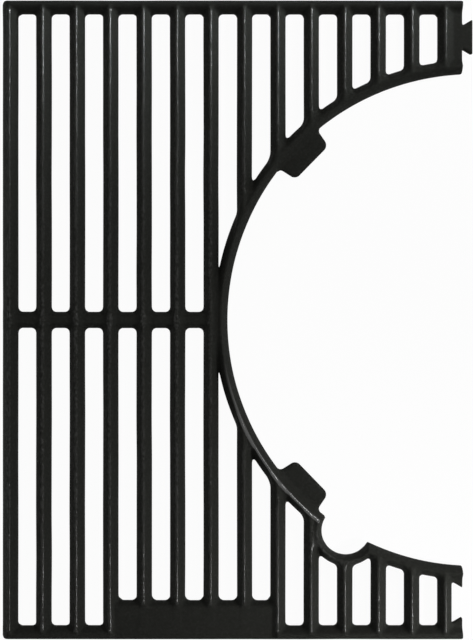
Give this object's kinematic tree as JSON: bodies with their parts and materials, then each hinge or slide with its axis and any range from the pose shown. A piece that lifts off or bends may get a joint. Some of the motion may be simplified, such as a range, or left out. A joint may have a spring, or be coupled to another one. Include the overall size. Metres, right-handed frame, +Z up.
{
  "type": "modular grill grate",
  "caption": "Half of a modular cast-iron grill grate with ridged bars, a round bay for an insert, support tabs, a finger notch and a dovetail joint.",
  "frame": {"origin": "centre of the bounding box at the underside", "axes": "+X towards the joint face, +Y along the bars towards the back rail, +Z up from the underside to the ridges"},
  "size_m": [0.3088, 0.42, 0.012],
  "materials": {
    "casting": "matt black enamel over sand-cast iron, semi-gloss on the ridges"
  },
  "bodies": {
    "root": {"grate_casting": "casting"}
  },
  "joints": []
}
